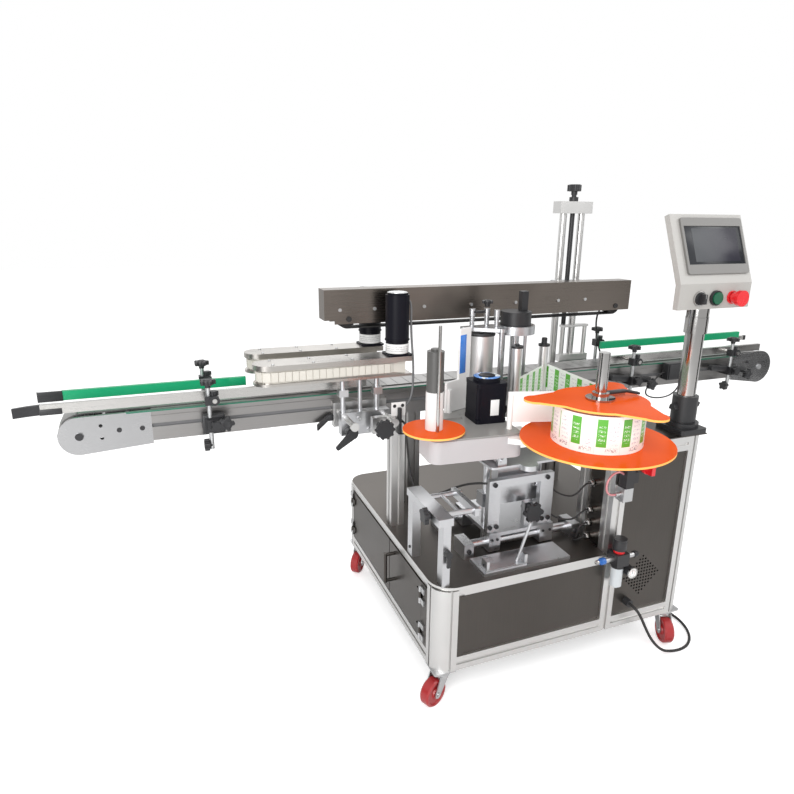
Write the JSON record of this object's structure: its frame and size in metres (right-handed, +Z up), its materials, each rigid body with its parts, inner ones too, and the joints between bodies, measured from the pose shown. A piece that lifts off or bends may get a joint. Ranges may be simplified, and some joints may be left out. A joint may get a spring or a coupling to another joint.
{
  "type": "bottle labelling machine",
  "caption": "Bench labelling machine with slat conveyor, press belt, chain guides and a turning label reel head on a cabinet.",
  "frame": {"origin": "floor level under the centre of the bounding box", "axes": "+X along the conveyor to the discharge end, +Y from the operator's side to the back, +Z up"},
  "size_m": [2.5489, 0.9794, 1.334],
  "materials": {
    "brushed_steel": "brushed",
    "aluminium": "satin",
    "dark_aluminium": "satin",
    "zinc": "satin",
    "chrome": "polished",
    "black_plastic": "satin",
    "black_rubber": "matte",
    "red_wheel": "satin",
    "red_plastic": "glossy",
    "green_plastic": "glossy",
    "green_rail": "satin",
    "cream_plastic": "satin",
    "orange_acrylic": "glossy",
    "painted_grey": "satin",
    "painted_white": "satin",
    "label_paper": "matte"
  },
  "bodies": {
    "machine": {"cabinet_frame": "aluminium", "cabinet_panels": "brushed_steel", "table_top": "brushed_steel", "steel_hardware": "zinc", "conveyor_sides": "aluminium", "end_plates": "chrome", "slat_chain": "zinc", "rail_brackets": "black_plastic", "lift_posts": "aluminium", "guide_stand": "aluminium", "slide_base": "aluminium", "console_pole": "chrome", "air_unit": "black_plastic", "power_cord": "black_rubber", "cord_coil": "black_rubber"},
    "door_front": {"door_front": "brushed_steel"},
    "door_rear": {"door_rear": "brushed_steel"},
    "castor_fl": {"fork_fl": "zinc"},
    "wheel_fl": {"wheel_fl": "red_wheel"},
    "castor_fr": {"fork_fr": "zinc"},
    "wheel_fr": {"wheel_fr": "red_wheel"},
    "castor_rl": {"fork_rl": "zinc"},
    "wheel_rl": {"wheel_rl": "red_wheel"},
    "castor_rr": {"fork_rr": "zinc"},
    "wheel_rr": {"wheel_rr": "red_wheel"},
    "drive_sprocket": {"drive_sprocket": "zinc"},
    "idler_sprocket": {"idler_sprocket": "zinc"},
    "rail_front": {"rail_front": "chrome"},
    "rail_rear": {"rail_rear": "green_rail"},
    "lift_screw": {"lift_screw": "black_plastic"},
    "beam": {"beam_housing": "brushed_steel", "beam_carriage": "aluminium", "press_belt": "black_rubber"},
    "guide_handwheel": {"guide_handwheel": "black_plastic"},
    "front_guide": {"guide_carrier": "aluminium", "front_guide": "cream_plastic", "guide_motor_front": "black_plastic"},
    "clamp_lever": {"clamp_lever": "black_plastic"},
    "rear_guide": {"rear_guide": "cream_plastic"},
    "x_carriage": {"x_carriage": "aluminium"},
    "slide_handwheel": {"slide_handwheel": "black_plastic"},
    "head_lift": {"head_lift": "aluminium"},
    "head": {"head_box": "painted_grey", "stepper_motor": "black_plastic", "peel_plate": "painted_grey", "press_head": "aluminium", "reel_arm": "painted_grey", "label_web": "label_paper"},
    "drive_roller": {"drive_roller": "chrome"},
    "roller_a": {"roller_a": "chrome"},
    "roller_b": {"roller_b": "chrome"},
    "rewinder": {"rewinder": "orange_acrylic"},
    "reel": {"reel_discs": "orange_acrylic", "reel_hub": "chrome", "label_roll": "label_paper"},
    "console": {"console_box": "painted_white"},
    "selector": {"selector": "black_plastic"},
    "start_button": {"start_button": "green_plastic"},
    "estop": {"estop": "red_plastic"},
    "main_switch": {"main_switch": "red_plastic"}
  },
  "joints": [
    {"name": "door_front_hinge", "type": "hinge", "parent": "machine", "child": "door_front", "pos_m": [-0.3565, -0.16475, 0.228], "axis": [0, 0, 1], "range_deg": [0, 110]},
    {"name": "door_rear_hinge", "type": "hinge", "parent": "machine", "child": "door_rear", "pos_m": [-0.3565, 0.42925, 0.228], "axis": [0, 0, -1], "range_deg": [0, 110]},
    {"name": "castor_fl_swivel", "type": "hinge", "parent": "machine", "child": "castor_fl", "pos_m": [-0.3205, -0.22825, 0.085], "axis": [0, 0, 1], "continuous": true},
    {"name": "wheel_fl_roll", "type": "hinge", "parent": "castor_fl", "child": "wheel_fl", "pos_m": [-0.34769, -0.24093, 0.0375], "axis": [0.4226, -0.9063, 0], "continuous": true},
    {"name": "castor_fr_swivel", "type": "hinge", "parent": "machine", "child": "castor_fr", "pos_m": [0.4205, -0.22825, 0.085], "axis": [0, 0, 1], "continuous": true},
    {"name": "wheel_fr_roll", "type": "hinge", "parent": "castor_fr", "child": "wheel_fr", "pos_m": [0.41024, -0.25644, 0.0375], "axis": [0.9397, -0.342, 0], "continuous": true},
    {"name": "castor_rl_swivel", "type": "hinge", "parent": "machine", "child": "castor_rl", "pos_m": [-0.3205, 0.44975, 0.085], "axis": [0, 0, 1], "continuous": true},
    {"name": "wheel_rl_roll", "type": "hinge", "parent": "castor_rl", "child": "wheel_rl", "pos_m": [-0.33978, 0.42677, 0.0375], "axis": [0.766, -0.6428, 0], "continuous": true},
    {"name": "castor_rr_swivel", "type": "hinge", "parent": "machine", "child": "castor_rr", "pos_m": [0.4205, 0.44975, 0.085], "axis": [0, 0, 1], "continuous": true},
    {"name": "wheel_rr_roll", "type": "hinge", "parent": "castor_rr", "child": "wheel_rr", "pos_m": [0.4055, 0.42377, 0.0375], "axis": [0.866, -0.5, 0], "continuous": true},
    {"name": "drive_sprocket_turn", "type": "hinge", "parent": "machine", "child": "drive_sprocket", "pos_m": [1.2135, 0.27475, 0.683], "axis": [0, 1, 0], "continuous": true},
    {"name": "idler_sprocket_turn", "type": "hinge", "parent": "machine", "child": "idler_sprocket", "pos_m": [-1.1375, 0.27475, 0.683], "axis": [0, 1, 0], "continuous": true},
    {"name": "rail_front_slide", "type": "slide", "parent": "machine", "child": "rail_front", "axis": [0, 1, 0], "range_m": [-0.01, 0.01]},
    {"name": "rail_rear_slide", "type": "slide", "parent": "machine", "child": "rail_rear", "axis": [0, 1, 0], "range_m": [-0.01, 0.01]},
    {"name": "beam_slide", "type": "slide", "parent": "machine", "child": "beam", "axis": [0, 0, 1], "range_m": [-0.03, 0.18]},
    {"name": "lift_screw_turn", "type": "hinge", "parent": "machine", "child": "lift_screw", "pos_m": [0.4365, 0.40175, 1.25], "axis": [0, 0, 1], "range_deg": [-2160, 12960]},
    {"name": "guide_slide", "type": "slide", "parent": "machine", "child": "front_guide", "axis": [0, 1, 0], "range_m": [-0.02, 0.015]},
    {"name": "guide_handwheel_turn", "type": "hinge", "parent": "machine", "child": "guide_handwheel", "pos_m": [-0.3805, 0.13975, 0.669], "axis": [0, 1, 0], "range_deg": [-1800, 1350]},
    {"name": "clamp_lever_turn", "type": "hinge", "parent": "front_guide", "child": "clamp_lever", "pos_m": [-0.4495, 0.13575, 0.641], "axis": [0, 1, 0], "range_deg": [-60, 60]},
    {"name": "rear_guide_slide", "type": "slide", "parent": "machine", "child": "rear_guide", "axis": [0, 1, 0], "range_m": [-0.015, 0.02]},
    {"name": "head_cross_slide", "type": "slide", "parent": "machine", "child": "x_carriage", "axis": [1, 0, 0], "range_m": [-0.045, 0.055]},
    {"name": "head_lift_slide", "type": "slide", "parent": "x_carriage", "child": "head_lift", "axis": [0, 0, 1], "range_m": [-0.01, 0.04]},
    {"name": "slide_handwheel_turn", "type": "hinge", "parent": "x_carriage", "child": "slide_handwheel", "pos_m": [-0.0155, -0.12025, 0.448], "axis": [0, 1, 0], "range_deg": [-1800, 7200]},
    {"name": "head_tilt", "type": "hinge", "parent": "head_lift", "child": "head", "pos_m": [-0.1275, -0.11225, 0.618], "axis": [0, 1, 0], "range_deg": [-4, 4]},
    {"name": "drive_roller_turn", "type": "hinge", "parent": "head", "child": "drive_roller", "pos_m": [-0.0685, 0.09175, 0.78], "axis": [0, 0, 1], "continuous": true},
    {"name": "roller_a_turn", "type": "hinge", "parent": "head", "child": "roller_a", "pos_m": [-0.0125, -0.01025, 0.78], "axis": [0, 0, 1], "continuous": true},
    {"name": "roller_b_turn", "type": "hinge", "parent": "head", "child": "roller_b", "pos_m": [0.1455, 0.09175, 0.78], "axis": [0, 0, 1], "continuous": true},
    {"name": "rewinder_turn", "type": "hinge", "parent": "head", "child": "rewinder", "pos_m": [-0.30207, -0.10482, 0.76], "axis": [0, 0, 1], "continuous": true},
    {"name": "reel_turn", "type": "hinge", "parent": "head", "child": "reel", "pos_m": [0.0355, -0.30825, 0.76], "axis": [0, 0, 1], "continuous": true},
    {"name": "console_swivel", "type": "hinge", "parent": "machine", "child": "console", "pos_m": [0.4095, -0.21025, 0.99], "axis": [0, 0, 1], "range_deg": [-45, 45]},
    {"name": "selector_turn", "type": "hinge", "parent": "console", "child": "selector", "pos_m": [0.3255, -0.28425, 1.035], "axis": [0, 1, 0], "range_deg": [-45, 45]},
    {"name": "start_press", "type": "slide", "parent": "console", "child": "start_button", "axis": [0, 1, 0], "range_m": [0, 0.003], "stiffness_N_per_m": 300, "springref_m": -0.001},
    {"name": "estop_press", "type": "slide", "parent": "console", "child": "estop", "axis": [0, 1, 0], "range_m": [0, 0.004], "stiffness_N_per_m": 600, "springref_m": -0.001},
    {"name": "main_switch_turn", "type": "hinge", "parent": "machine", "child": "main_switch", "pos_m": [0.2585, -0.26025, 0.59], "axis": [0, 1, 0], "range_deg": [0, 90]}
  ],
  "couplings": [
    {"joint": "idler_sprocket_turn", "follows": "drive_sprocket_turn", "ratio": 1},
    {"joint": "lift_screw_turn", "follows": "beam_slide", "rad_per_m": 1256.6},
    {"joint": "guide_handwheel_turn", "follows": "guide_slide", "rad_per_m": 1570.8},
    {"joint": "slide_handwheel_turn", "follows": "head_lift_slide", "rad_per_m": 3141.6}
  ]
}
